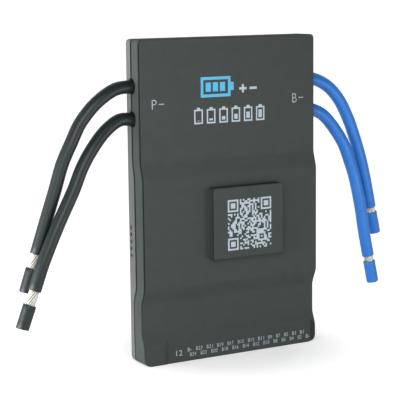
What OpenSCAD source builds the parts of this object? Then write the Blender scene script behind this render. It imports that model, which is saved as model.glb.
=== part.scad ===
// Battery management board: a two-shell case with two power leads on each side,
// the power board and its parts inside. Millimetres, +Z up, the front toward -Y.
// "Depth" is counted forward from the flat back of the case.

/* [Case] */
// Width across the sides that carry the leads
case_w = 102; // [96:1:130]
// Height from the foot to the top
case_h = 162; // [146:1:200]
// Wall of both shells
wall = 1.5; // [1.2:0.1:1.8]
// Corner radius of the outline at the top
corner_r = 2; // [1.4:0.1:4]
// Corner radius of the outline at the foot
foot_r = 4.2; // [2.5:0.1:5]
// Radius of the front and back rims
edge_r = 0.8; // [0.3:0.1:1.2]

/* [Front steps] */
// Depth of the top section, over the transistors
top_d = 13.6; // [12.5:0.1:15]
// Depth of the middle section
mid_d = 16; // [15.4:0.1:18]
// Depth of the low section
low_d = 12.6; // [12:0.1:14]
// Depth of the foot section, over the sense socket
foot_d = 15.2; // [14.4:0.1:17]
// Height of the foot section
foot_h = 10; // [8:0.5:12]
// Height of the slope between the foot and the low section
foot_slope = 6; // [4:0.5:8]
// Height of the low section
low_h = 15.6; // [12:0.2:17]
// Height of the slope between the low and the middle section
mid_slope = 7.4; // [5:0.2:8]
// Height of the slope between the middle and the top section
top_slope = 7.6; // [5:0.2:8]
// Height of the top section
top_h = 60.6; // [58:0.2:64]
// Length over which each step is rounded
step_soft = 1.6; // [0.6:0.1:1.8]
// Set-back of the foot's front face over the sockets
pocket_in = 1.1; // [0.6:0.1:1.3]
// Left end of the set-back, from the case's left side
pocket_left = 13.5; // [12:0.5:15]
// Rim between the set-back's right end and the case's right side
pocket_right = 2.8; // [2:0.1:4]
// Width of the slope at both ends of the set-back
pocket_slope = 2.4; // [1:0.1:2.6]

/* [Seam] */
// Depth of the seam in the top section, where the leads come out
seam_top = 5.7; // [5.4:0.1:6.2]
// Depth of the seam in the middle section
seam_mid = 7.4; // [6.5:0.1:8]
// Depth of the seam in the low section
seam_low = 4.6; // [4.4:0.1:5.2]
// Depth of the seam in the foot section
seam_foot = 5.2; // [4.6:0.1:6]
// Width of the shadow gap between the shells
seam_gap = 0.8; // [0.4:0.05:1]
// Depth of the shadow gap into the wall
gap_in = 0.7; // [0.4:0.1:0.9]

/* [Raised panel] */
// Width of the raised panel
panel_w = 41.6; // [39:0.2:46]
// Height of the raised panel
panel_h = 36.2; // [35:0.2:42]
// Rise of the panel over the middle section
panel_rise = 4.5; // [4.4:0.1:6]
// Panel centre, to the right of the case's middle
panel_x = 6.4; // [2:0.2:10]
// Panel centre above the middle of the middle section
panel_up = 3; // [0:0.2:5]
// Corner radius of the panel
panel_r = 0.9; // [0.5:0.1:2]
// Chamfer on the panel's front edge
panel_chamfer = 0.4; // [0.2:0.05:0.6]

/* [Leads] */
// Outer diameter of a power lead
cable_d = 6.5; // [5.5:0.1:6.8]
// Clear gap round a lead in its hole
cable_gap = 0.75; // [0.4:0.05:0.9]
// Diameter of the stranded core
core_d = 4.2; // [3:0.1:4.2]
// Depth of the upper lead below the top of the case
lead_drop = 23; // [21:0.5:26]
// Distance between the two leads of a side
lead_pitch = 16; // [12:0.5:17]
// Length of the cut-off sleeve on a lead's end
sleeve_len = 12; // [8:0.5:14]

/* [Status lights] */
// Number of lights
led_count = 5; // [3:1:7]
// Distance between two lights
led_pitch = 3.5; // [3:0.1:4]
// Middle light above the foot
led_z = 62; // [58:0.5:70]
// Diameter of a light's hole
led_hole_d = 2; // [1.4:0.1:2.2]
// Height of a light's body
led_body = 2; // [1.4:0.1:2.4]

/* [Case screws] */
// Distance of the screws from the sides
screw_side = 6.5; // [6:0.1:7]
// Distance of the screws from the top and the foot
screw_end = 6.5; // [6:0.1:7]
// Middle screws above the start of the top section
screw_mid = 3.6; // [3.2:0.1:4]
// Thread diameter
screw_d = 3; // [2.6:0.1:3.2]
// Screw length
screw_len = 8; // [7:0.5:9]
// Diameter of the countersunk head
head_d = 5.4; // [5:0.1:5.8]
// Diameter of a screw boss
boss_d = 5.6; // [5.2:0.1:6]
// Clearance round a screw in its hole
screw_clear = 0.15; // [0.1:0.05:0.25]

/* [Circuit board] */
// Thickness of the board
board_t = 1.6; // [1.2:0.1:1.8]
// Gap between the board's edge and the walls
board_gap = 1.8; // [1.6:0.1:2.2]
// Thickness of the thermal pads
pad_t = 0.5; // [0.4:0.05:0.7]
// Clear gap between a thermal pad and the screw bosses
pad_clear = 0.7; // [0.5:0.1:1.5]

/* [Power stage] */
// Transistor columns
fet_cols = 5; // [3:1:5]
// Transistor rows
fet_rows = 4; // [2:1:4]
// Distance between transistor columns
fet_pitch_x = 11; // [10.4:0.1:11]
// Distance between transistor rows
fet_pitch_z = 11.6; // [11.4:0.1:12]
// Transistor width
fet_w = 9.9; // [9:0.1:10]
// Transistor length without its leads
fet_l = 9.6; // [8:0.1:9.8]
// Transistor height
fet_t = 2.3; // [1.8:0.1:3]
// Length of a transistor's leads
fet_lead = 0.8; // [0.5:0.1:1.2]
// Thickness of the copper bars
bar_t = 1.6; // [1.2:0.1:2.5]
// Width of the copper bars
bar_w = 14; // [12:0.2:14]
// Length of the copper bars
bar_l = 36; // [30:0.5:37]
// Length of a core's seat in its bar
seat_l = 8; // [6:0.5:9]
// Number of current shunts
shunt_n = 5; // [3:1:6]
// Height of a shunt along the case
shunt_l = 6.3; // [4:0.1:6.3]
// Width of a gate driver
driver_w = 4.9; // [4:0.1:5.4]
// Length of a gate driver along the case
driver_l = 3.9; // [3:0.1:4.2]
// Distance between gate drivers
driver_pitch = 12; // [10:0.5:13]
// Clear gap between the gate drivers and the transistors' leads
driver_gap = 1; // [0.6:0.1:2]

/* [Balance stage] */
// Diameter of a storage capacitor
cap_d = 15; // [12:0.1:15]
// Length of a storage capacitor
cap_l = 30; // [26:0.5:30]
// Width of the balance inductor
coil_w = 12.8; // [10:0.1:14]
// Height of the balance inductor
coil_t = 8; // [6:0.1:8.5]
// Switches in a row
switch_n = 12; // [8:1:12]
// Distance between switches
switch_pitch = 6.2; // [5.4:0.1:6.4]
// Width of a switch
switch_w = 3.3; // [2.5:0.1:4]
// Length of a ceramic capacitor across the case
ceramic_l = 3.2; // [2:0.1:3.6]
// Width of a ceramic capacitor
ceramic_w = 2.5; // [1.6:0.1:2.8]
// Distance between ceramic capacitors
ceramic_pitch = 3.2; // [3:0.1:3.6]

/* [Control] */
// Width of the microcontroller
mcu_w = 10; // [7:0.5:12]
// Width of the radio module
radio_w = 13; // [11:0.5:14]
// Height of the radio module
radio_h = 18; // [16:0.5:20]
// Distance of the control parts from the right side
control_side = 15; // [14:0.5:16]
// Microcontroller above the start of the middle section
mcu_up = 12; // [10:0.5:13]
// Radio module above the start of the middle section
radio_up = 34; // [31:0.5:38]

/* [Sockets] */
// Columns of the two-row sense socket
sense_cols = 13; // [9:1:13]
// Distance between two pins
pin_pitch = 2.5; // [2:0.05:2.54]
// Thickness of a pin
pin_t = 0.6; // [0.5:0.05:0.7]
// Centre of the sense socket to the right of the case's middle
sense_x = 9.8; // [6:0.2:12]
// Outer depth of the sense socket
sense_t = 7.8; // [7.2:0.1:8.4]
// Length of the sockets
sock_l = 11; // [10:0.1:12]
// Wall of the sockets
sock_wall = 0.9; // [0.7:0.05:1]
// Set-back of the sockets from the foot face
sock_in = 0.6; // [0.4:0.1:1]
// Clear gap round a socket in its opening
sock_gap = 0.3; // [0.2:0.05:0.5]
// Pins of each small socket
small_pins = 4; // [3:1:5]
// Pitch of the small sockets
small_pitch = 2; // [1.5:0.1:2.2]
// Outer depth of the small sockets
small_t = 6.2; // [6:0.1:7]
// Free length of a socket's mouth before the pin tips
pin_in = 4.3; // [4.1:0.1:5]
// Distance of the first small socket from the left side
small_side = 16; // [15:0.5:18]
// Distance between the small sockets
small_step = 13; // [13:0.5:14]

/* [Hidden] */

hw = case_w / 2;
total_d = mid_d + panel_rise;
back_y = total_d / 2;
foot_z = foot_h;
low_z0 = foot_z + foot_slope;
low_z1 = low_z0 + low_h;
mid_z0 = low_z1 + mid_slope;
top_z = case_h - top_h;
mid_z1 = top_z - top_slope;
panel_z = (mid_z0 + mid_z1) / 2 + panel_up;
pocket_d = foot_d - pocket_in;
pocket_x0 = -hw + pocket_left;
pocket_x1 = hw - pocket_right;
board_back = wall + pad_t;
board_front = board_back + board_t;
board_hw = hw - wall - board_gap;
board_z0 = wall + board_gap;
board_z1 = case_h - wall - board_gap;
lead_zs = [case_h - lead_drop, case_h - lead_drop - lead_pitch];
lead_mid = case_h - lead_drop - lead_pitch / 2;
hole_d = cable_d + 2 * cable_gap;
screw_zs = [screw_end, top_z + screw_mid, case_h - screw_end];
screw_x = hw - screw_side;
pad_w = 2 * (screw_x - boss_d / 2 - pad_clear);
bar_out = screw_x + 0.5;
lead_in = board_hw + 0.2;
fet_z = lead_mid;
led_mid = (board_back + board_front) / 2;
sock_z = sock_in + sock_l;
eps = 0.01;

// Routes of the four free leads from their exits, chosen by hand.
// Each is [across, back, up] from the point where the lead passes the wall.
p_upper_route = [[-9, 0, -1], [-19, 0, -7], [-27, 1, -16], [-32, 1, -25],
    [-37, 2, -36], [-41, 2, -48], [-46, 2, -62], [-51.5, 2, -78]];
p_lower_route = [[-7, 0, 0], [-15, -0.5, -5], [-22.5, -1.5, -13], [-28.5, -2, -22],
    [-33.5, -3, -32], [-42.5, -4, -48], [-51, -5, -65], [-56, -5, -78]];
b_upper_route = [[6, 0, -1], [14, 0, -5], [21, 0, -12], [27, 1, -21],
    [31, 1, -30], [36, 1, -44], [39.5, 1, -57], [43.5, 2, -72]];
b_lower_route = [[5, 0, -1], [11, 0, -4], [17, 0, -10], [23, -1, -19],
    [27, -1, -28], [31, -1, -39], [34, -2, -54], [36.5, -2, -68], [39.5, -2, -82]];
// Bare strands between the insulation and the cut-off sleeve
p_bare = 7;
b_bare = 3;

// --- shared forms ------------------------------------------------------------
function arc_in(u, r) = u < r ? r - sqrt(r * r - (r - u) * (r - u)) : 0;
function unit(v) = v / norm(v);
function soften(a, b, c, t) = let (p = b + t * unit(a - b), q = b + t * unit(c - b))
    [p, b / 2 + (p + q) / 4, q];
// Corner of the profile: o is the sharp corner, du and dv point into the solid
function rim_corner(o, du, dv, r) = [o + r * dv, o + 0.29 * r * (du + dv), o + r * du];

// The stepped front as [depth, height], for a skin that lies i inside the outer one
function steps(i, e, z0, z1) = [[foot_d - i - e, z0], [foot_d - i - e, foot_z],
    [low_d - i - e, low_z0], [low_d - i - e, low_z1], [mid_d - i - e, mid_z0],
    [mid_d - i - e, mid_z1], [top_d - i - e, top_z], [top_d - i - e, z1]];
function loop(i, u, rf, rt, re) = let (
        e = arc_in(u, re), b = i + e, z0 = i + arc_in(u, rf),
        z1 = case_h - i - arc_in(u, rt), s = steps(i, e, z0, z1))
    concat(
        rim_corner([b, z0], [1, 0], [0, 1], re),
        [for (p = rim_corner(s[0], [0, 1], [-1, 0], re)) p],
        [for (k = [1 : 6]) each soften(s[k - 1], s[k], s[k + 1], step_soft)],
        [for (p = rim_corner(s[7], [-1, 0], [0, -1], re)) p],
        rim_corner([b, z1], [0, -1], [1, 0], re));
// Closed solid lofted across the case through profiles that shrink at the corners
// and cut flat at its two sides
module skin(i) {
    rt = max(corner_r - i, 0.6);
    rf = max(foot_r - i, 0.6);
    re = max(edge_r - i, 0.3);
    x = hw - i;
    arcs = [for (a = [0 : 15 : 90]) max(rf, rt) * (1 - cos(a))];
    side = concat([[-1, 0]], [for (u = arcs) [u, u]]);
    m = len(side);
    xs = concat([for (k = [0 : m - 1]) [side[k][0] - x, side[k][1]]],
        [for (k = [m - 1 : -1 : 0]) [x - side[k][0], side[k][1]]]);
    loops = [for (s = xs) [for (p = loop(i, s[1], rf, rt, re)) [s[0], back_y - p[0], p[1]]]];
    n = len(loops[0]);
    intersection() {
        polyhedron(points = [for (l = loops) each l],
            faces = concat([[for (j = [n - 1 : -1 : 0]) j]],
                [for (k = [0 : 2 * m - 2]) for (j = [0 : n - 1])
                    [k * n + j, k * n + (j + 1) % n, (k + 1) * n + (j + 1) % n, (k + 1) * n + j]],
                [[for (j = [0 : n - 1]) (2 * m - 1) * n + j]]),
            convexity = 8);
        translate([-x, -case_w, -5]) cube([2 * x, 2 * case_w, case_h + 10]);
    }
}
// Everything behind the seam, moved forward by s
module behind_seam(s) {
    x = hw + 5;
    y = function (d) back_y - d - s;
    translate([-x, 0, 0]) rotate([90, 0, 90]) linear_extrude(2 * x) polygon([
        [back_y + 5, -5], [y(seam_foot), -5], [y(seam_foot), foot_z], [y(seam_low), low_z0],
        [y(seam_low), low_z1], [y(seam_mid), mid_z0], [y(seam_mid), mid_z1],
        [y(seam_top), top_z], [y(seam_top), case_h + 5], [back_y + 5, case_h + 5]]);
}
// Box by its ranges: across, depth and height
module slab(x0, x1, d0, d1, z0, z1) {
    translate([x0, back_y - d1, z0]) cube([x1 - x0, d1 - d0, z1 - z0]);
}
// Cylinder that runs forward from depth d0 to d1
module post(x, z, d0, d1, r0, r1 = 0) {
    translate([x, back_y - d0, z]) rotate([90, 0, 0])
        cylinder(h = d1 - d0, r1 = r0, r2 = r1 > 0 ? r1 : r0, $fn = 32);
}
// Cylinder along the width
module bar(x0, x1, d, z, r) {
    translate([min(x0, x1), back_y - d, z]) rotate([0, 90, 0])
        cylinder(h = abs(x1 - x0), r = r, $fn = 48);
}
function rr(w, h, r) = [for (q = [0 : 3]) for (a = [0 : 22.5 : 90]) let (t = a + 90 * q,
    cx = (q == 0 || q == 3 ? 1 : -1) * (w / 2 - r), cz = (q < 2 ? 1 : -1) * (h / 2 - r))
    [cx + r * cos(t), cz + r * sin(t)]];
// Rounded plate facing forward, from depth d0 to d1
module plate(x, z, w, h, r, d0, d1) {
    translate([x, back_y - d0, z]) rotate([90, 0, 0]) linear_extrude(d1 - d0) polygon(rr(w, h, r));
}
module at_screws() { for (sx = [-1, 1]) for (z = screw_zs) translate([sx * screw_x, 0, z]) children(); }
function front_at(z) = z < foot_z ? foot_d : z < top_z ? mid_d : top_d;
module lead_holes() {
    for (sx = [-1, 1]) for (z = lead_zs)
        bar(sx * (hw - wall - 1), sx * (hw + 1), seam_top, z, hole_d / 2);
}
// Space in front of the foot's set-back face, with its two sloped ends
module pocket() {
    d1 = foot_d + 1;
    run = pocket_slope * (pocket_in + 1) / pocket_in;
    linear_extrude(low_z0 + 1) polygon([[pocket_x0, back_y - pocket_d],
        [pocket_x0 - run, back_y - d1], [pocket_x1 + run, back_y - d1],
        [pocket_x1, back_y - pocket_d]]);
}
// Openings of the three sockets through the foot wall
module socket_openings() {
    g = sock_gap;
    slab(sense_x - sense_w() / 2 - g, sense_x + sense_w() / 2 + g,
        board_front - g, board_front + sense_t + g, -1, wall + 1);
    for (k = [0, 1]) slab(small_x(k) - small_w() / 2 - g, small_x(k) + small_w() / 2 + g,
        board_front - g, board_front + small_t + g, -1, wall + 1);
}
function sense_w() = (sense_cols - 1) * pin_pitch + 6;
function small_w() = (small_pins - 1) * small_pitch + 4.4;
function small_x(k) = -hw + small_side + k * small_step;

// --- case --------------------------------------------------------------------
module rear_cover() {
    color("#33383a") difference() {
        union() {
            intersection() { skin(0); behind_seam(-seam_gap); }
            intersection() { skin(gap_in); behind_seam(0); }
        }
        difference() {
            skin(wall);
            for (sx = [-1, 1]) for (z = screw_zs)
                post(sx * screw_x, z, wall - 1, board_back, boss_d / 2);
        }
        for (sx = [-1, 1]) for (z = screw_zs) {
            post(sx * screw_x, z, -1, board_back + 1, screw_d / 2 + screw_clear);
            post(sx * screw_x, z, -eps, (head_d - screw_d) / 2 - eps,
                head_d / 2 + screw_clear, screw_d / 2 + screw_clear);
        }
        lead_holes();
        for (k = [0 : led_count - 1])
            bar(-hw - 1, -hw + wall + 0.5, led_mid, led_z + (k - (led_count - 1) / 2) * led_pitch,
                led_hole_d / 2);
        socket_openings();
    }
}
module front_cover() {
    color("#3a4042") difference() {
        union() {
            difference() { skin(0); behind_seam(0); }
            plate(panel_x, panel_z, panel_w, panel_h, panel_r, mid_d - wall / 2,
                mid_d + panel_rise - panel_chamfer);
            translate([panel_x, back_y - total_d + panel_chamfer, panel_z]) rotate([90, 0, 0])
                linear_extrude(panel_chamfer, scale = [1 - 2 * panel_chamfer / panel_w,
                    1 - 2 * panel_chamfer / panel_h]) polygon(rr(panel_w, panel_h, panel_r));
        }
        difference() {
            union() {
                skin(wall);
                plate(panel_x, panel_z, panel_w - 2 * wall, panel_h - 2 * wall, 0.6,
                    mid_d - 2 * wall, total_d - wall);
            }
            for (sx = [-1, 1]) for (z = screw_zs)
                post(sx * screw_x, z, board_front, front_at(z), boss_d / 2);
            slab(pocket_x0 - pocket_slope - 1, hw, pocket_d - wall, foot_d, 0, low_z0);
        }
        translate([0, 0, -1]) pocket();
        for (sx = [-1, 1]) for (z = screw_zs)
            post(sx * screw_x, z, board_front - 1, screw_len + 0.6, screw_d / 2 - 0.2);
        lead_holes();
        socket_openings();
    }
}
module case_screws() {
    cone = (head_d - screw_d) / 2;
    color("#8d9092") for (sx = [-1, 1]) for (z = screw_zs) difference() {
        union() {
            post(sx * screw_x, z, 0, cone, head_d / 2, screw_d / 2 - 0.25);
            post(sx * screw_x, z, cone / 2, screw_len, screw_d / 2 - 0.25);
        }
        translate([sx * screw_x, back_y + 1, z]) rotate([90, 0, 0])
            cylinder(h = 1.8, r = 1.15, $fn = 6);
    }
}

// --- board and power stage ---------------------------------------------------
module main_board() {
    color("#1f5a3a") difference() {
        plate(0, (board_z0 + board_z1) / 2, 2 * board_hw, board_z1 - board_z0, 1.2,
            board_back, board_front);
        for (sx = [-1, 1]) for (z = screw_zs)
            post(sx * screw_x, z, board_back - 1, board_front + 1, screw_d / 2 + 2 * screw_clear);
    }
}
module thermal_pads() {
    color("#9aa7b4") {
        slab(-pad_w / 2, pad_w / 2, wall, board_back, top_z, board_z1);
        slab(-pad_w / 2, pad_w / 2, wall, board_back, mid_z0, mid_z1);
    }
}
module mosfet() {
    cube([fet_w, fet_t, fet_l], center = true);
    translate([0, fet_t / 2 - 0.25, -(fet_l + fet_lead) / 2])
        cube([fet_w - 1, 0.5, fet_lead + eps], center = true);
}
module mosfets() {
    color("#202224") for (i = [0 : fet_cols - 1]) for (j = [0 : fet_rows - 1])
        translate([(i - (fet_cols - 1) / 2) * fet_pitch_x, back_y - board_front - fet_t / 2,
            fet_z + (j - (fet_rows - 1) / 2) * fet_pitch_z]) mosfet();
}
module busbar(sx) {
    difference() {
        slab(min(sx * bar_out, sx * (bar_out - bar_w)), max(sx * bar_out, sx * (bar_out - bar_w)),
            board_front, board_front + bar_t, lead_mid - bar_l / 2, lead_mid + bar_l / 2);
        for (z = lead_zs) slab(min(sx * (bar_out - seat_l), sx * (bar_out + 1)),
            max(sx * (bar_out - seat_l), sx * (bar_out + 1)), board_front - 1, board_front + bar_t + 1,
            z - core_d / 2 - 0.15, z + core_d / 2 + 0.15);
    }
}
module p_busbar() { color("#c07a45") busbar(-1); }
module b_busbar() { color("#c07a45") busbar(1); }
module cable_cores(sx) {
    for (z = lead_zs) bar(sx * lead_in, sx * (bar_out - seat_l), seam_top, z, core_d / 2);
}
module p_cable_cores() { color("#d8cfc0") cable_cores(-1); }
module b_cable_cores() { color("#d8cfc0") cable_cores(1); }
module shunt_resistors() {
    x0 = (fet_cols - 1) / 2 * fet_pitch_x + fet_w / 2;
    x1 = bar_out - bar_w;
    pitch = bar_l / shunt_n;
    color("#6f5b45") for (k = [0 : shunt_n - 1]) let (z = lead_mid + (k - (shunt_n - 1) / 2) * pitch)
        slab(x0 + 0.2, x1 - 0.2, board_front, board_front + 1, z - shunt_l / 2, z + shunt_l / 2);
}
module chip(x, z, w, h, t) {
    slab(x - w / 2, x + w / 2, board_front, board_front + t, z - h / 2, z + h / 2);
}
module gate_drivers() {
    z = fet_z - (fet_rows - 1) / 2 * fet_pitch_z - fet_l / 2 - fet_lead - driver_gap - driver_l / 2;
    color("#26282a") for (k = [0 : 3]) chip((k - 1.5) * driver_pitch, z, driver_w, driver_l, 1.5);
}

// --- balance stage -----------------------------------------------------------
module supercapacitors() {
    lift = 0.1;
    d = board_front + lift + cap_d / 2;
    z0 = panel_z - cap_l / 2;
    color("#2c3f66") for (sx = [-1, 1]) translate([panel_x + sx * (cap_d / 2 + 0.2), back_y - d, z0]) {
        rotate_extrude($fn = 40) polygon([[0, 0], [cap_d / 2 - 0.6, 0], [cap_d / 2, 0.6],
            [cap_d / 2, 2.4], [cap_d / 2 - 0.5, 2.9], [cap_d / 2, 3.4], [cap_d / 2, cap_l - 0.6],
            [cap_d / 2 - 0.6, cap_l], [0, cap_l]]);
        for (s = [-1, 1]) translate([s * 2.5 - 0.4, -0.4, -1.8]) {
            cube([0.8, 0.8, 1.8 + eps]);
            cube([0.8, 0.4 + cap_d / 2 + lift, 0.8]);
        }
    }
}
module balance_inductor() {
    x = panel_x - panel_w / 2 - coil_w / 2 - 4;
    color("#3b3b3d") {
        plate(x, panel_z, coil_w, coil_w, 2, board_front, board_front + coil_t - 0.6);
        post(x, panel_z, board_front, board_front + coil_t, coil_w / 2 - 1);
    }
}
module switch_array() {
    color("#222426") for (i = [0 : switch_n - 1]) for (j = [0, 1])
        chip((i - (switch_n - 1) / 2) * switch_pitch, low_z0 + low_h / 4 + j * low_h / 2,
            switch_w, switch_w, 0.9);
}
module filter_capacitors() {
    x = panel_x - panel_w / 2 - coil_w - 10;
    color("#a58a66") for (j = [0 : 7])
        chip(x, panel_z + (j - 3.5) * ceramic_pitch, ceramic_l, ceramic_w, 1.8);
}

// --- control -----------------------------------------------------------------
module microcontroller() {
    x = hw - control_side;
    z = mid_z0 + mcu_up;
    color("#1c1e20") {
        chip(x, z, mcu_w, mcu_w, 1.4);
        chip(x, z, mcu_w + 2, mcu_w - 1.6, 0.5);
        chip(x, z, mcu_w - 1.6, mcu_w + 2, 0.5);
    }
}
module radio_module() {
    x = hw - control_side;
    z = mid_z0 + radio_up;
    color("#7e8488") {
        chip(x, z, radio_w, radio_h, 0.8);
        chip(x, z - 2, radio_w - 2, radio_h - 6, 2.4);
    }
}
module status_leds() {
    color("#e9eef0") for (k = [0 : led_count - 1]) let (z = led_z + (k - (led_count - 1) / 2) * led_pitch)
        slab(-board_hw - board_gap + 0.3, -board_hw, board_back, board_front,
            z - led_body / 2, z + led_body / 2);
}

// --- sockets -----------------------------------------------------------------
// Pins of one socket: each runs up through the socket's floor and turns to the board
module pin_rows(x, cols, pitch, rows, t) {
    for (r = [0 : rows - 1]) let (d = board_front + t / 2 + (r - (rows - 1) / 2) * pitch,
            top = sock_z + 1.2 + r * 1.6)
        for (c = [0 : cols - 1]) let (px = x + (c - (cols - 1) / 2) * pitch) {
            slab(px - pin_t / 2, px + pin_t / 2, d - pin_t / 2, d + pin_t / 2, sock_in + pin_in, top);
            slab(px - pin_t / 2, px + pin_t / 2, board_front, d, top - pin_t, top);
        }
}
module socket(x, w, t, cols, pitch, rows) {
    w2 = w / 2;
    difference() {
        slab(x - w2, x + w2, board_front, board_front + t, sock_in, sock_z);
        slab(x - w2 + sock_wall, x + w2 - sock_wall, board_front + sock_wall,
            board_front + t - sock_wall, -1, sock_z - 2.6);
        slab(x - 2, x + 2, board_front + t - sock_wall - 1, board_front + t + 1, -1, sock_z - 4);
        for (r = [0 : rows - 1]) for (c = [0 : cols - 1])
            let (d = board_front + t / 2 + (r - (rows - 1) / 2) * pitch,
                px = x + (c - (cols - 1) / 2) * pitch)
            slab(px - pin_t / 2, px + pin_t / 2, d - pin_t / 2, d + pin_t / 2, 0, sock_z + 1);
    }
}
module sense_socket() { color("#e8e4d8") socket(sense_x, sense_w(), sense_t, sense_cols, pin_pitch, 2); }
module sense_pins() { color("#c9b26a") pin_rows(sense_x, sense_cols, pin_pitch, 2, sense_t); }
module comm_socket() { color("#e8e4d8") socket(small_x(0), small_w(), small_t, small_pins, small_pitch, 1); }
module comm_pins() { color("#c9b26a") pin_rows(small_x(0), small_pins, small_pitch, 1, small_t); }
module temp_socket() { color("#e8e4d8") socket(small_x(1), small_w(), small_t, small_pins, small_pitch, 1); }
module temp_pins() { color("#c9b26a") pin_rows(small_x(1), small_pins, small_pitch, 1, small_t); }

// --- free leads --------------------------------------------------------------
function exit_point(sx, k) = [sx * hw, back_y - seam_top, lead_zs[k]];
function route(sx, k, r) = concat(
    [[sx * lead_in, back_y - seam_top, lead_zs[k]], exit_point(sx, k)],
    [for (p = r) exit_point(sx, k) + p]);
// Smooth curve through the points, with one more point in the middle of each span
function smooth(p) = let (n = len(p), q = concat([2 * p[0] - p[1]], p, [2 * p[n - 1] - p[n - 2]]))
    concat([for (i = [1 : n - 1]) each [q[i], (9 * (q[i] + q[i + 1]) - q[i - 1] - q[i + 2]) / 16]],
        [p[n - 1]]);
// Direction at an inner point i, and a ring of points square to a direction
function along(p, i) = unit(unit(p[i + 1] - p[i]) + unit(p[i] - p[i - 1]));
function ring(c, t, r, sides) = let (s = unit(cross([0, 1, 0], t)), v = cross(t, s))
    [for (a = [0 : sides - 1]) let (q = 360 * (a + 0.5) / sides) c + r * (cos(q) * s + sin(q) * v)];
// Tube along the points, with end faces square to the directions t0 and t1
module tube(p, r, t0, t1, sides = 12) {
    n = len(p);
    polyhedron(points = [for (i = [0 : n - 1])
            each ring(p[i], i == 0 ? t0 : i == n - 1 ? t1 : along(p, i), r, sides)],
        faces = concat([[for (j = [0 : sides - 1]) j]],
            [for (i = [0 : n - 2]) for (j = [0 : sides - 1])
                [i * sides + j, (i + 1) * sides + j, (i + 1) * sides + (j + 1) % sides,
                    i * sides + (j + 1) % sides]],
            [[for (j = [sides - 1 : -1 : 0]) (n - 1) * sides + j]]), convexity = 6);
}
// The bare strands and the cut-off sleeve carry on along the lead's last stretch
function lead_end(p) = p[len(p) - 1];
function lead_dir(p) = unit(p[len(p) - 1] - p[len(p) - 2]);
module lead(p, sx) { tube(smooth(p), cable_d / 2, [sx, 0, 0], lead_dir(p)); }
module straight(a, t, l, r) { tube([a, a + l * t], r, t, t); }
module strands(p, bare) { straight(lead_end(p), lead_dir(p), bare, core_d / 2); }
module sleeve(p, bare) {
    straight(lead_end(p) + bare * lead_dir(p), lead_dir(p), sleeve_len, cable_d / 2);
}
pu = route(-1, 0, p_upper_route);
pl = route(-1, 1, p_lower_route);
bu = route(1, 0, b_upper_route);
bl = route(1, 1, b_lower_route);
module p_cable_upper() { color("#26292b") lead(pu, -1); }
module p_strands_upper() { color("#d8d6cc") strands(pu, p_bare); }
module p_sleeve_upper() { color("#26292b") sleeve(pu, p_bare); }
module p_cable_lower() { color("#26292b") lead(pl, -1); }
module p_strands_lower() { color("#d8d6cc") strands(pl, p_bare); }
module p_sleeve_lower() { color("#26292b") sleeve(pl, p_bare); }
module b_cable_upper() { color("#3f86ea") lead(bu, 1); }
module b_strands_upper() { color("#d8d6cc") strands(bu, b_bare); }
module b_sleeve_upper() { color("#3f86ea") sleeve(bu, b_bare); }
module b_cable_lower() { color("#3f86ea") lead(bl, 1); }
module b_strands_lower() { color("#d8d6cc") strands(bl, b_bare); }
module b_sleeve_lower() { color("#3f86ea") sleeve(bl, b_bare); }

rear_cover();
front_cover();
case_screws();
main_board();
thermal_pads();
mosfets();
p_busbar();
b_busbar();
shunt_resistors();
p_cable_cores();
b_cable_cores();
gate_drivers();
supercapacitors();
balance_inductor();
switch_array();
filter_capacitors();
microcontroller();
radio_module();
status_leds();
sense_socket();
sense_pins();
comm_socket();
comm_pins();
temp_socket();
temp_pins();
p_cable_upper();
p_strands_upper();
p_sleeve_upper();
p_cable_lower();
p_strands_lower();
p_sleeve_lower();
b_cable_upper();
b_strands_upper();
b_sleeve_upper();
b_cable_lower();
b_strands_lower();
b_sleeve_lower();
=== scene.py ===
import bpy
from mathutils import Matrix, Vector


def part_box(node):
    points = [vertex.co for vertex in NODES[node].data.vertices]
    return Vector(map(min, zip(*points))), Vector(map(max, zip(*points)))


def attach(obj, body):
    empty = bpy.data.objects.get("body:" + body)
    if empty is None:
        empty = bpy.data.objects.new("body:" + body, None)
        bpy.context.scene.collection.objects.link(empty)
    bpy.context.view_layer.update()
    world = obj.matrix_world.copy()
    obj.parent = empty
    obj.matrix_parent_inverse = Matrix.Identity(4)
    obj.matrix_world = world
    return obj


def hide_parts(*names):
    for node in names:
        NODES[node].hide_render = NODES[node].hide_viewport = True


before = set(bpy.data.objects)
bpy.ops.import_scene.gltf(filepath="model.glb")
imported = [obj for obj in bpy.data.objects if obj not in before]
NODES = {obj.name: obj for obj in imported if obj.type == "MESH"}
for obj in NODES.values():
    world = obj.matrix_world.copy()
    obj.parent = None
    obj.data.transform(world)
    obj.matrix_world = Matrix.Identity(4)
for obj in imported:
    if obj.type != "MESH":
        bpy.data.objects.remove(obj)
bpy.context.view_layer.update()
import math

import bmesh
import bpy
from mathutils import Matrix, Vector, noise

MM = 0.001

# --- sizes from the frame, and some of the CAD source's ----------------------
front_low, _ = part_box("front_cover")
_, rear_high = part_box("rear_cover")
HALF_W = rear_high.x
BACK_Y = rear_high.y
PANEL_Y = front_low.y
# How far the front stands off the back: at the top section, the middle one and the set-back foot.
TOP_DEPTH, MID_DEPTH, FOOT_DEPTH = 13.6 * MM, 16 * MM, 14.1 * MM
# Print below this height stands on the foot, print above it on the top section.
FOOT_PRINT_Z1 = 10 * MM
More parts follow.
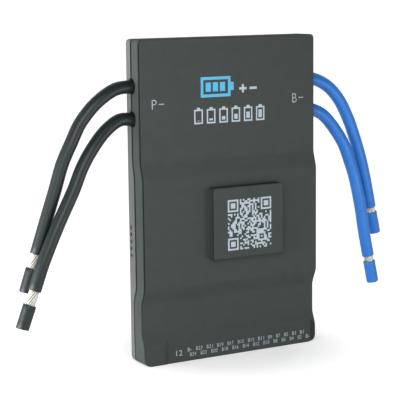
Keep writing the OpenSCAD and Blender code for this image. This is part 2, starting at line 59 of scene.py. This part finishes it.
# The seam's distance from the back in the three sections, and the heights between which the front steps.
SEAM_TOP, SEAM_MID, SEAM_LOW = 5.7 * MM, 7.4 * MM, 4.6 * MM
LOW_Z1, MID_Z0, MID_Z1, TOP_Z0 = 31.6 * MM, 39 * MM, 93.8 * MM, 101.4 * MM
LEAD_Y = BACK_Y - SEAM_TOP
LEAD_Z = [139 * MM, 123 * MM]
LEAD_START_X = 47.9 * MM
LEAD_D = 6.5 * MM
STRAND_D = 5.2 * MM
BORE_R = STRAND_D / 2 * 1.02
SLEEVE_L = 12 * MM


# --- camera ------------------------------------------------------------------
CAMERA_PLACE = (-0.36404, -0.61094, 0.187115)
CAMERA_YAW, CAMERA_PITCH, CAMERA_ROLL = 29.682, 8.596, -0.670
CAMERA_LENS, CAMERA_SENSOR = 127.5, 36


def make_camera():
    """The camera stands front left of the board, a little above its middle."""
    yaw, pitch, roll = (math.radians(a) for a in (CAMERA_YAW, CAMERA_PITCH, CAMERA_ROLL))
    forward = Vector((math.sin(yaw) * math.cos(pitch), math.cos(yaw) * math.cos(pitch), -math.sin(pitch)))
    level = Vector((math.cos(yaw), -math.sin(yaw), 0))
    rise = level.cross(forward)
    right = math.cos(roll) * level + math.sin(roll) * rise
    up = -math.sin(roll) * level + math.cos(roll) * rise
    data = bpy.data.cameras.new("camera")
    data.sensor_width = CAMERA_SENSOR
    data.lens = CAMERA_LENS
    data.clip_start = 0.01
    data.clip_end = 50
    camera = bpy.data.objects.new("camera", data)
    bpy.context.scene.collection.objects.link(camera)
    turn = Matrix((right, up, -forward)).transposed().to_4x4()
    camera.matrix_world = Matrix.Translation(CAMERA_PLACE) @ turn
    bpy.context.scene.camera = camera


# --- small helpers -----------------------------------------------------------
RAGGED, RAGGED_SCALE = 0.25 * MM, 900


def add_mesh(name, verts, faces, smooth=True):
    """A new object with the mesh, in the scene."""
    mesh = bpy.data.meshes.new(name)
    mesh.from_pydata([tuple(v) for v in verts], [], faces)
    mesh.update()
    for polygon in mesh.polygons:
        polygon.use_smooth = smooth
    obj = bpy.data.objects.new(name, mesh)
    bpy.context.scene.collection.objects.link(obj)
    return obj


def catmull(points, per_span):
    """A smooth curve through the points, with per_span steps in each span."""
    ends = [2 * points[0] - points[1], *points, 2 * points[-1] - points[-2]]
    curve = []
    for i in range(1, len(ends) - 2):
        a, b, c, d = ends[i - 1:i + 3]
        for step in range(per_span):
            t = step / per_span
            curve.append(0.5 * (2 * b + (c - a) * t + (2 * a - 5 * b + 4 * c - d) * t * t
                                + (3 * b - a - 3 * c + d) * t ** 3))
    curve.append(points[-1])
    return curve


def square_to(along):
    """Two directions square to the one given and to each other."""
    side = Vector((0, 1, 0)).cross(along).normalized()
    return side, along.cross(side)


def square_at(path, i):
    """Two directions square to the path at point i."""
    return square_to((path[min(i + 1, len(path) - 1)] - path[max(i - 1, 0)]).normalized())


def add_ring(verts, centre, radius, square, sides, ragged=None):
    """Adds a ring of points and returns their numbers. Noise pushes each to and fro along ragged."""
    first = len(verts)
    side, other = square
    for j in range(sides):
        a = 2 * math.pi * j / sides
        point = centre + radius * (math.cos(a) * side + math.sin(a) * other)
        if ragged:
            point += ragged * RAGGED * noise.noise(point * RAGGED_SCALE)
        verts.append(point)
    return list(range(first, first + sides))


def add_bands(faces, rings):
    """Adds the faces between each ring and the next."""
    for lower, upper in zip(rings, rings[1:]):
        for j in range(len(lower)):
            n = (j + 1) % len(lower)
            faces.append((lower[j], lower[n], upper[n], upper[j]))


# --- leads -------------------------------------------------------------------
LIP = 0.35 * MM
BORE_SEEN = 2 * MM
TUBE_SIDES, SPAN_STEPS, SLEEVE_STEPS = 28, 4, 6
WIRE_STEPS, WIRE_SIDES = 14, 8
WIRE_LAY = 34 * MM
# The wires start this far inside the lead and end this far inside the sleeve's mouth.
WIRE_INSET, WIRE_SHORT = 2 * MM, 0.3 * MM

# Per lead: side of the case, row in LEAD_Z, bare length in mm, and the route as [across, back, up] in mm
# from the point where the lead passes the wall, the same points as in the CAD source.
ROUTES = {
    "p_upper": (-1, 0, 7.0, [(-9, 0, -1), (-19, 0, -7), (-27, 1, -16), (-32, 1, -25),
                             (-37, 2, -36), (-41, 2, -48), (-46, 2, -62), (-51.5, 2, -78)]),
    "p_lower": (-1, 1, 7.0, [(-7, 0, 0), (-15, -0.5, -5), (-22.5, -1.5, -13), (-28.5, -2, -22),
                             (-33.5, -3, -32), (-42.5, -4, -48), (-51, -5, -65), (-56, -5, -78)]),
    "b_upper": (1, 0, 3.0, [(6, 0, -1), (14, 0, -5), (21, 0, -12), (27, 1, -21),
                            (31, 1, -30), (36, 1, -44), (39.5, 1, -57), (43.5, 2, -72)]),
    "b_lower": (1, 1, 3.0, [(5, 0, -1), (11, 0, -4), (17, 0, -10), (23, -1, -19), (27, -1, -28),
                            (31, -1, -39), (34, -2, -54), (36.5, -2, -68), (39.5, -2, -82)]),
}


def cut_end(tip, out, throat):
    """Centres and radii over the rounded lip of a cut end, which faces out, and into its bore."""
    outer = LEAD_D / 2
    return [(tip - LIP * out, outer), (tip - 0.3 * LIP * out, outer - 0.3 * LIP), (tip, outer - LIP),
            (tip, BORE_R), (tip - BORE_SEEN * out, throat)]


def lead_mesh(name, path):
    """Insulation along the path, closed inside the case and cut open at its far end."""
    last = len(path) - 1
    out = (path[last] - path[last - 1]).normalized()
    profile = [(point, LEAD_D / 2) for point in path[:-1]] + cut_end(path[last], out, BORE_R * 0.98)
    verts, faces, rings = [], [], []
    for k, (centre, radius) in enumerate(profile):
        square = square_at(path, min(k, last))
        rings.append(add_ring(verts, centre, radius, square, TUBE_SIDES, out if k >= last else None))
    add_bands(faces, rings)
    faces.append(tuple(reversed(rings[0])))
    faces.append(tuple(rings[-1]))
    return add_mesh(name, verts, faces)


def sleeve_mesh(name, path):
    """A short open length of insulation with both ends cut."""
    along = (path[-1] - path[0]).normalized()
    end = cut_end(path[-1], along, BORE_R)
    profile = cut_end(path[0], -along, BORE_R)[::-1]
    profile += [(point, LEAD_D / 2) for point in path[1:-1]]
    profile += end
    ragged = len(end) - 1
    verts, faces, rings = [], [], []
    for k, (centre, radius) in enumerate(profile):
        at_end = k < ragged or k >= len(profile) - ragged
        rings.append(add_ring(verts, centre, radius, square_to(along), TUBE_SIDES, along if at_end else None))
    add_bands(faces, rings)
    return add_mesh(name, verts, faces)


def strand_bundle(name, start, along, length):
    """Nineteen fine wires in two twisted layers round one, from inside the cut end into the sleeve."""
    side, other = square_to(along)
    wire_r = STRAND_D / 10
    verts, faces = [], []
    for count, layer_r in ((1, 0.0), (6, 2 * wire_r), (12, 3.9 * wire_r)):
        for w in range(count):
            phase = 2 * math.pi * w / count
            rings = []
            for i in range(WIRE_STEPS + 1):
                t = i / WIRE_STEPS
                swell = 1 + 0.05 * math.sin(math.pi * t) * math.sin(3.1 * w + count)
                a = phase + 2 * math.pi * t * length / WIRE_LAY
                off = swell * layer_r * (math.cos(a) * side + math.sin(a) * other)
                centre = start + along * length * t + off
                rings.append(add_ring(verts, centre, wire_r, (side, other), WIRE_SIDES))
            add_bands(faces, rings)
            faces.append(tuple(reversed(rings[0])))
            faces.append(tuple(rings[-1]))
    return add_mesh(name, verts, faces)


def make_lead(name, sx, row, bare_mm, points):
    """One lead: its insulation, the wires past its end and the sleeve that is left on them."""
    exit_point = Vector((sx * HALF_W, LEAD_Y, LEAD_Z[row]))
    route = [Vector((sx * LEAD_START_X, LEAD_Y, LEAD_Z[row])), exit_point]
    route += [exit_point + MM * Vector(p) for p in points]
    path = catmull(route, SPAN_STEPS)
    pole, place = name.split("_")
    insulation = lead_mesh(f"{pole}_lead_{place}", path)
    tip, along = path[-1], (route[-1] - route[-2]).normalized()
    bare = bare_mm * MM
    wires = strand_bundle(f"{pole}_lead_{place}_wires", tip - WIRE_INSET * along, along,
                          WIRE_INSET + bare + SLEEVE_L - WIRE_SHORT)
    cut = tip + bare * along
    sleeve_path = [cut + along * SLEEVE_L * i / SLEEVE_STEPS for i in range(SLEEVE_STEPS + 1)]
    sleeve = sleeve_mesh(f"{pole}_lead_{place}_sleeve", sleeve_path)
    for piece, node in ((insulation, "cable"), (wires, "strands"), (sleeve, "sleeve")):
        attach(piece, "root")
        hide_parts(f"{pole}_{node}_{place}")
    return insulation, wires, sleeve


make_camera()
leads = {name: make_lead(name, *facts) for name, facts in ROUTES.items()}


# --- materials ---------------------------------------------------------------
# The seam's shadow is full to SEAM_CORE on each side of it and gone at SEAM_EDGE.
SEAM_CORE, SEAM_EDGE = 0.55 * MM, 0.9 * MM


class Graph:
    """A material's node tree with a shader, and short names for the nodes it uses."""

    def __init__(self, name, **values):
        self.material = bpy.data.materials.new(name)
        self.material.use_nodes = True
        self.tree = self.material.node_tree
        self.shader = self.tree.nodes["Principled BSDF"]
        for key, value in values.items():
            self.shader.inputs[key.replace("_", " ")].default_value = value
        self.coords = self.add("ShaderNodeTexCoord").outputs["Object"]

    def add(self, kind, **inputs):
        node = self.tree.nodes.new(kind)
        for key, value in inputs.items():
            self.put(value, node.inputs[key.replace("_", " ")])
        return node

    def put(self, value, socket):
        if isinstance(value, bpy.types.NodeSocket):
            self.tree.links.new(value, socket)
        else:
            socket.default_value = value

    def math(self, operation, a, b):
        node = self.add("ShaderNodeMath")
        node.operation = operation
        self.put(a, node.inputs[0])
        self.put(b, node.inputs[1])
        return node.outputs["Value"]

    def sum(self, a, b):
        return self.math("ADD", a, b)

    def ramp(self, value, start, stop, low=0.0, high=1.0):
        """Low up to start, high from stop on, and a straight line between."""
        node = self.add("ShaderNodeMapRange", Value=value)
        for key, limit in (("From Min", start), ("From Max", stop), ("To Min", low), ("To Max", high)):
            node.inputs[key].default_value = limit
        return node.outputs["Result"]

    def split(self, vector):
        parts = self.add("ShaderNodeSeparateXYZ", Vector=vector).outputs
        return parts["X"], parts["Y"], parts["Z"]

    def noise(self, size, detail=3.0, stretch=None):
        """Noise whose cells are about size across, in metres."""
        vector = self.coords
        if stretch is not None:
            scaled = self.add("ShaderNodeMapping", Vector=self.coords)
            scaled.inputs["Scale"].default_value = stretch
            vector = scaled.outputs["Vector"]
        node = self.add("ShaderNodeTexNoise", Vector=vector, Scale=1 / size, Detail=detail)
        return node.outputs["Fac"]

    def vary(self, colour, fac, amount):
        """The colour made darker and lighter by the noise."""
        return self.scale(colour, self.ramp(fac, 0.3, 0.7, 1 - amount, 1 + amount))

    def scale(self, colour, factor):
        scaled = self.add("ShaderNodeVectorMath")
        scaled.operation = "SCALE"
        self.put(colour, scaled.inputs[0])
        self.put(factor, scaled.inputs["Scale"])
        return scaled.outputs["Vector"]

    def bump(self, height, distance, strength=1.0):
        node = self.add("ShaderNodeBump", Height=height, Distance=distance, Strength=strength)
        self.put(node.outputs["Normal"], self.shader.inputs["Normal"])

    def finish(self, colour, fac, amount):
        self.put(self.vary(colour, fac, amount), self.shader.inputs["Base Color"])
        return self.material


def sum_steps(g, z, top, changes):
    """The value top, changed by each step as z goes down through it."""
    total = top
    for low, high, change in changes:
        total = g.sum(total, g.ramp(z, low, high, change, 0.0))
    return total


def seam_shadow(g, y, z):
    """1 in a thin band along the seam, which steps with the front, and 0 elsewhere."""
    steps = ((MID_Z1, TOP_Z0, SEAM_MID - SEAM_TOP), (LOW_Z1, MID_Z0, SEAM_LOW - SEAM_MID))
    depth = g.math("SUBTRACT", BACK_Y, y)
    off = g.math("ABSOLUTE", g.math("SUBTRACT", depth, sum_steps(g, z, SEAM_TOP, steps)), 0.0)
    band = g.ramp(off, SEAM_CORE, SEAM_EDGE, 1.0, 0.0)
    return g.math("MULTIPLY", band, g.ramp(z, LOW_Z1, MID_Z0, 0.3, 1.0))


def rim_shadow(g, z):
    """Up to 0.85 on the rounded rims that face both left and front, less at the foot, and 0 on the flats."""
    x, y, _ = g.split(g.add("ShaderNodeNewGeometry").outputs["Normal"])
    both = g.math("MULTIPLY", g.math("MINIMUM", x, 0.0), g.math("MINIMUM", y, 0.0))
    return g.math("MULTIPLY", g.ramp(both, 0.15, 0.32), g.ramp(z, LOW_Z1, MID_Z0, 0.55, 0.85))


def panel_wall_shadow(g, y):
    """0.5 on the walls of the raised panel, in front of the middle section's face, and 0 elsewhere."""
    facing = g.split(g.add("ShaderNodeNewGeometry").outputs["Normal"])[1]
    mid_y = BACK_Y - MID_DEPTH
    raised = g.ramp(y, mid_y - 0.3 * MM, mid_y - 0.05 * MM, 0.5, 0.0)
    return g.math("MULTIPLY", g.ramp(facing, -0.8, -0.4), raised)


def powder_coat(name, colour):
    """Fine orange-peel coat, with painted shade along the seam, the sharp rims and the panel's walls: darker
    colour and less sheen there.
    """
    g = Graph(name, Roughness=0.72)
    g.bump(g.noise(0.9 * MM, 2.0), 0.05 * MM, 0.6)
    _, y, z = g.split(g.coords)
    line = g.math("MAXIMUM", seam_shadow(g, y, z), rim_shadow(g, z))
    line = g.math("MAXIMUM", line, panel_wall_shadow(g, y))
    # line is the painted shade's mask; bare is 1 on the flats and 0.12 in the painted shade, for colour and
    # sheen alike.
    bare = g.ramp(line, 0.0, 1.0, 1.0, 0.12)
    g.put(g.math("MULTIPLY", bare, 0.22), g.shader.inputs["Specular IOR Level"])
    g.put(g.scale(g.vary(colour, g.noise(6 * MM), 0.05), bare), g.shader.inputs["Base Color"])
    return g.material


def plain(name, colour, roughness, amount=0.06, **values):
    """Moulded plastic, ceramic or ink with a fine grain."""
    g = Graph(name, Roughness=roughness, **values)
    g.bump(g.noise(0.6 * MM), 0.02 * MM, 0.5)
    return g.finish(colour, g.noise(3.6 * MM), amount)


def insulation(name, colour, sheen):
    """Soft silicone insulation, a little uneven."""
    g = Graph(name, Roughness=0.42, Specular_IOR_Level=sheen)
    g.bump(g.noise(1.2 * MM, 2.0), 0.04 * MM, 0.5)
    return g.finish(colour, g.noise(4 * MM), 0.06)


def metal(name, colour, roughness, stretch=(1, 1, 1)):
    """Bare or plated metal with a fine grain, which stretch draws out along an axis."""
    g = Graph(name, Roughness=roughness, Metallic=1.0)
    g.bump(g.noise(0.4 * MM, 3.0, stretch), 0.02 * MM, 0.6)
    return g.finish(colour, g.noise(3 * MM), 0.08)


def give(material, *objects):
    """Puts the material in every slot of the objects."""
    for obj in objects:
        slots = obj.material_slots
        if not slots:
            obj.data.materials.append(material)
        for slot in slots:
            slot.material = material


coat_front = powder_coat("front_coat", (0.0440, 0.0520, 0.0490))
# The rear cover's coat is the front's black coat painted lighter: painted light for the brighter side wall of
# the rear shell.
coat_rear_painted_light = powder_coat("rear_coat", (0.113, 0.119, 0.116))
black_rubber = insulation("black_insulation", (0.0058, 0.0110, 0.0117), 0.36)
blue_rubber = insulation("blue_insulation", (0.018, 0.168, 0.57), 0.4)
tinned = metal("tinned_wire", (0.52, 0.51, 0.47), 0.5, (1, 1, 0.15))
epoxy = plain("moulded_epoxy", (0.021, 0.021, 0.023), 0.5)
nylon = plain("moulded_nylon", (0.80, 0.77, 0.68), 0.45)
copper = metal("bare_copper", (0.78, 0.40, 0.22), 0.35)
plated = metal("plated_pin", (0.78, 0.74, 0.62), 0.3)
steel_dark = metal("blackened_steel", (0.32, 0.32, 0.33), 0.4)

CAD_MATERIALS = {
    "rear_cover": coat_rear_painted_light,
    "front_cover": coat_front,
    "case_screws": steel_dark,
    "main_board": plain("solder_mask", (0.03, 0.16, 0.08), 0.35),
    "thermal_pads": plain("thermal_silicone", (0.45, 0.52, 0.58), 0.7),
    "mosfets": epoxy,
    "p_busbar": copper,
    "b_busbar": copper,
    "shunt_resistors": metal("shunt_alloy", (0.42, 0.36, 0.30), 0.4),
    "p_cable_cores": tinned,
    "b_cable_cores": tinned,
    "gate_drivers": epoxy,
    "supercapacitors": plain("shrink_sleeve", (0.03, 0.06, 0.16), 0.25),
    "balance_inductor": plain("ferrite", (0.05, 0.05, 0.052), 0.7),
    "switch_array": epoxy,
    "filter_capacitors": plain("fired_ceramic", (0.42, 0.30, 0.18), 0.5),
    "microcontroller": epoxy,
    "radio_module": metal("tinned_shield", (0.6, 0.6, 0.6), 0.35),
    "status_leds": plain("led_lens", (0.75, 0.78, 0.76), 0.2, Transmission_Weight=0.3),
    "sense_socket": nylon,
    "comm_socket": nylon,
    "temp_socket": nylon,
    "sense_pins": plated,
    "comm_pins": plated,
    "temp_pins": plated,
}
for node, material in CAD_MATERIALS.items():
    give(material, NODES[node])
for name, (tube, wires, sleeve) in leads.items():
    pole, place = name.split("_")
    rubber = black_rubber if pole == "p" else blue_rubber
    give(rubber, tube, sleeve, NODES[f"{pole}_cable_{place}"], NODES[f"{pole}_sleeve_{place}"])
    give(tinned, wires, NODES[f"{pole}_strands_{place}"])


# --- prints ------------------------------------------------------------------
PRINT_RISE = 0.03 * MM
PRINT_SINK = 0.1 * MM


def front_y(z):
    """The front face's y at height z, for the flat bands of the top section and the foot that carry print."""
    return BACK_Y - (FOOT_DEPTH if z < FOOT_PRINT_Z1 else TOP_DEPTH)


def plate(verts, faces, x0, z0, x1, z1, y):
    """Adds a thin upright box proud of the face at y."""
    first = len(verts)
    for depth in (y + PRINT_SINK, y - PRINT_RISE):
        verts += [(x0, depth, z0), (x1, depth, z0), (x1, depth, z1), (x0, depth, z1)]
    faces.append((first + 4, first + 5, first + 6, first + 7))
    for j in range(4):
        n = (j + 1) % 4
        faces.append((first + j, first + n, first + 4 + n, first + 4 + j))


def on_cover(obj, material):
    """Makes the object a print on the front cover."""
    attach(obj, "root")
    give(material, obj)


def print_piece(name, verts, faces, material):
    on_cover(add_mesh(name, verts, faces, smooth=False), material)


def text_piece(name, labels, material, thin=0.0):
    """Plain letters and digits, thinned by thin.

    labels holds (text, centre x, centre z, height, width) with the sizes in metres.
    """
    work = bmesh.new()
    for text, x, z, height, width in labels:
        curve = bpy.data.curves.new(name, "FONT")
        curve.body = text
        curve.resolution_u = 3
        curve.offset = -thin
        source = bpy.data.objects.new(name, curve)
        bpy.context.scene.collection.objects.link(source)
        bpy.context.view_layer.update()
        mesh = bpy.data.meshes.new_from_object(source)
        xs = [v.co.x for v in mesh.vertices]
        ys = [v.co.y for v in mesh.vertices]
        sx = width / (max(xs) - min(xs))
        sz = height / (max(ys) - min(ys))
        cx, cy = (max(xs) + min(xs)) / 2, (max(ys) + min(ys)) / 2
        y = front_y(z) - PRINT_RISE
        for v in mesh.vertices:
            v.co = Vector((x + (v.co.x - cx) * sx, y, z + (v.co.y - cy) * sz))
        work.from_mesh(mesh)
        bpy.data.objects.remove(source)
    mesh = bpy.data.meshes.new(name)
    work.to_mesh(mesh)
    work.free()
    obj = bpy.data.objects.new(name, mesh)
    bpy.context.scene.collection.objects.link(obj)
    on_cover(obj, material)


ink_pale = plain("pale_ink", (0.42, 0.49, 0.54), 0.6, amount=0.05)
ink_dim = plain("thin_ink", (0.36, 0.41, 0.45), 0.6, amount=0.05)
ink_blue = plain("blue_ink", (0.08, 0.42, 0.66), 0.6, amount=0.05)


def pole_marks():
    """P and B, each with a thin dash, beside the leads they name."""
    verts, faces, labels = [], [], []
    width, height = 2.7 * MM, 4.7 * MM
    dash_gap, dash_l, dash_t = 1.15 * MM, 2.9 * MM, 0.45 * MM
    for letter, x, z in (("P", -44.05 * MM, 130.3 * MM), ("B", 37.45 * MM, 129.7 * MM)):
        labels.append((letter, x + width / 2, z, height, width))
        dash_x, dash_z = x + width + dash_gap, z - 0.2 * MM
        plate(verts, faces, dash_x, dash_z, dash_x + dash_l, dash_z + dash_t, front_y(z))
    text_piece("pole_letters", labels, ink_dim, thin=0.012)
    print_piece("pole_dashes", verts, faces, ink_dim)


def pin_marks():
    """Two rows of plain pin marks over the sense socket, odd above even, and a number beside them."""
    upper = ["B-"] + [f"B{n}" for n in range(23, 0, -2)]
    lower = [f"B{n}" for n in range(24, 0, -2)] + ["B-"]
    letter_w, letter_h = 1.2 * MM, 1.9 * MM
    labels = [("12", -31 * MM, 4.8 * MM, 2.8 * MM, 3.6 * MM)]
    for row, x, z, gap in ((upper, -26.2 * MM, 5.9 * MM, 2.56 * MM),
                           (lower, -24.9 * MM, 3.3 * MM, 2.66 * MM)):
        for text in row:
            width = letter_w * len(text)
            labels.append((text, x + width / 2, z, letter_h, width))
            x += width + gap
    text_piece("pin_marks", labels, ink_dim)


def outline_boxes(x0, z0, x1, z1, t):
    """The four bars of a rectangle's outline, each t thick."""
    return [(x0, z0, x1, z0 + t), (x0, z1 - t, x1, z1),
            (x0, z0 + t, x0 + t, z1 - t), (x1 - t, z0 + t, x1, z1 - t)]


def battery_sign():
    """A generic battery sign in blue: an outline with a nub and three bars."""
    verts, faces = [], []
    x0, x1, z0, z1 = -16.6 * MM, 0.6 * MM, 132.4 * MM, 142.5 * MM
    inset, bar_w, bar_step = 2.8 * MM, 3 * MM, 4.1 * MM
    nub_inset, nub_w = 3 * MM, 1.8 * MM
    boxes = outline_boxes(x0, z0, x1, z1, 1.5 * MM)
    boxes.append((x1, z0 + nub_inset, x1 + nub_w, z1 - nub_inset))
    for i in range(3):
        left = x0 + inset + i * bar_step
        boxes.append((left, z0 + inset, left + bar_w, z1 - inset))
    for box in boxes:
        plate(verts, faces, *box, front_y(z0))
    print_piece("battery_sign", verts, faces, ink_blue)


def polarity_signs():
    """A plain plus and minus beside the battery sign."""
    verts, faces = [], []
    z, t, half = 136 * MM, 0.6 * MM, 2.1 * MM
    plus, minus = 7.8 * MM, 13.9 * MM
    for box in ((plus - half, z - t, plus + half, z + t), (plus - t, z + t, plus + t, z + half),
                (plus - t, z - half, plus + t, z - t), (minus - half, z - t, minus + half, z + t)):
        plate(verts, faces, *box, front_y(z))
    print_piece("polarity_signs", verts, faces, ink_pale)


def cell_row():
    """Six plain cell outlines in a row, each with a nub and a charge bar that grows from cell to cell."""
    verts, faces = [], []
    z0, z1 = 119.4 * MM, 126.6 * MM
    first_x, width, step = -20.5 * MM, 5.0 * MM, 7.2 * MM
    inset, nub_inset, nub_h = 1.5 * MM, 1.6 * MM, 0.9 * MM
    bar_h, bar_grows = 0.2 * MM, 0.75 * MM
    for i in range(6):
        x = first_x + i * step
        boxes = outline_boxes(x, z0, x + width, z1, 0.75 * MM)
        boxes.append((x + nub_inset, z1, x + width - nub_inset, z1 + nub_h))
        boxes.append((x + inset, z0 + inset, x + width - inset, z0 + inset + bar_h + i * bar_grows))
        for box in boxes:
            plate(verts, faces, *box, front_y(z0))
    print_piece("cell_row", verts, faces, ink_pale)


def block_on(col, row, count):
    """Square rings in three corners, a small one near the fourth, and a scatter from a formula elsewhere."""
    far = count - 4
    # Each ring has a column, a row, a reach and a blank margin.
    for c, r, reach, margin in ((3, 3, 3, 1), (3, far, 3, 1), (far, far, 3, 1), (count - 7, 6, 2, 0)):
        ring = max(abs(col - c), abs(row - r))
        if ring <= reach + margin:
            return ring == reach or ring <= reach - 2
    return noise.cell(Vector((col + 0.5, row + 0.5, 4.5))) > 0


def block_field():
    """A square of plain blocks on the raised panel. It stands for a printed square and holds no data."""
    verts, faces = [], []
    count, size = 29, 25.7 * MM
    cell = size / count
    x0, z0 = 7.1 * MM - size / 2, 68.2 * MM - size / 2
    for row in range(count):
        col = 0
        while col < count:
            run = 0
            while col + run < count and block_on(col + run, row, count):
                run += 1
            if run:
                plate(verts, faces, x0 + col * cell, z0 + row * cell, x0 + (col + run) * cell,
                      z0 + (row + 1) * cell, PANEL_Y)
            col += run + 1
    print_piece("block_field", verts, faces, ink_pale)


pole_marks()
pin_marks()
battery_sign()
polarity_signs()
cell_row()
block_field()


# --- floor, light and background ---------------------------------------------
FLOOR_REACH = 30
# The floor's own glow, which only the camera, mirrors and glass see: weaker by the case than away from it,
# which is painted shade round the base beside the real shadow.
GLOW_FROM, GLOW_TO = 0.03, 0.1
GLOW_NEAR, GLOW_FAR = 0.35, 0.8
BACKDROP_SIDE = (-0.75, 0.66, 0.0)
BACKDROP_FROM, BACKDROP_TO = 0.35, 1.0
ROOM_LEVEL, BACKDROP_LEVEL = 0.24, 1.1
FAR_SIDE = (0.5, 0.87, 0)


def make_floor():
    """A plain pale floor with painted shade round the object, fading to white away from it."""
    corners = [(x * FLOOR_REACH, y * FLOOR_REACH, 0) for x, y in ((-1, -1), (1, -1), (1, 1), (-1, 1))]
    floor = add_mesh("floor", corners, [(0, 1, 2, 3)], smooth=False)
    g = Graph("floor_paint", Roughness=0.9, Specular_IOR_Level=0.1)
    g.shader.inputs["Emission Color"].default_value = (1, 1, 1, 1)
    far = g.add("ShaderNodeVectorMath")
    far.operation = "LENGTH"
    g.put(g.coords, far.inputs[0])
    # Painted shade: the glow is dimmed near the object.
    glow = g.ramp(far.outputs["Value"], GLOW_FROM, GLOW_TO, GLOW_NEAR, GLOW_FAR)
    rays = g.add("ShaderNodeLightPath").outputs
    seen = g.sum(g.sum(rays["Is Camera Ray"], rays["Is Glossy Ray"]), rays["Is Transmission Ray"])
    g.put(g.math("MULTIPLY", glow, seen), g.shader.inputs["Emission Strength"])
    give(g.finish((0.8, 0.8, 0.8), g.noise(0.3), 0.005), floor)


def area_light(name, place, target, size, power):
    """A rectangular lamp at place, turned to target."""
    data = bpy.data.lights.new(name, "AREA")
    data.shape = "RECTANGLE"
    data.size, data.size_y = size
    data.energy = power
    light = bpy.data.objects.new(name, data)
    bpy.context.scene.collection.objects.link(light)
    light.location = place
    light.rotation_mode = "QUATERNION"
    light.rotation_quaternion = (Vector(target) - Vector(place)).to_track_quat("-Z", "Y")


def make_world():
    """A bright backdrop on the left behind the object and a dimmer room in front of it.

    The camera sees plain white, and so do glossy and clear surfaces where they mirror or show the far side.
    """
    world = bpy.data.worlds.new("studio")
    world.use_nodes = True
    bpy.context.scene.world = world
    tree = world.node_tree
    link = tree.links.new

    def node(kind, operation=None, *values):
        made = tree.nodes.new(kind)
        if operation:
            made.operation = operation
        for socket, value in zip(made.inputs, values):
            if isinstance(value, bpy.types.NodeSocket):
                link(value, socket)
            else:
                socket.default_value = value
        return made.outputs

    def ramp(side, start, stop, low, high):
        toward = node("ShaderNodeVectorMath", "DOT_PRODUCT", direction, Vector(side).normalized())["Value"]
        made = tree.nodes.new("ShaderNodeMapRange")
        made.interpolation_type = "SMOOTHSTEP"
        link(toward, made.inputs["Value"])
        for key, value in (("From Min", start), ("From Max", stop), ("To Min", low), ("To Max", high)):
            made.inputs[key].default_value = value
        return made.outputs["Result"]

    direction = node("ShaderNodeTexCoord")["Generated"]
    rays = node("ShaderNodeLightPath")
    level = ramp(BACKDROP_SIDE, BACKDROP_FROM, BACKDROP_TO, ROOM_LEVEL, BACKDROP_LEVEL)
    behind = ramp(FAR_SIDE, 0.0, 0.4, 0.0, 1.0)
    mirrored = node("ShaderNodeMath", "ADD", rays["Is Glossy Ray"], rays["Is Transmission Ray"])["Value"]
    white = node("ShaderNodeMath", "MULTIPLY", behind, mirrored)["Value"]
    level = node("ShaderNodeMath", "MAXIMUM", level, white)["Value"]
    seen = rays["Is Camera Ray"]
    dimmed = node("ShaderNodeMath", "SUBTRACT", 1.0, seen)["Value"]
    level = node("ShaderNodeMath", "MULTIPLY", level, dimmed)["Value"]
    level = node("ShaderNodeMath", "ADD", level, seen)["Value"]
    soft = tree.nodes["Background"]
    soft.inputs["Color"].default_value = (1, 1, 1, 1)
    link(level, soft.inputs["Strength"])


make_floor()
make_world()
area_light("key_light", (-0.19, -0.28, 0.22), (0, 0, 0.10), (0.2, 0.16), 0.70)
area_light("fill_light", (0.16, -0.3, 0.03), (0.03, 0, 0.04), (0.2, 0.1), 0.36)
area_light("side_light", (-0.6, -0.01, 0.03), (-0.05, 0, 0.08), (0.5, 0.16), 7.0)
bpy.context.scene.view_settings.view_transform = "Standard"
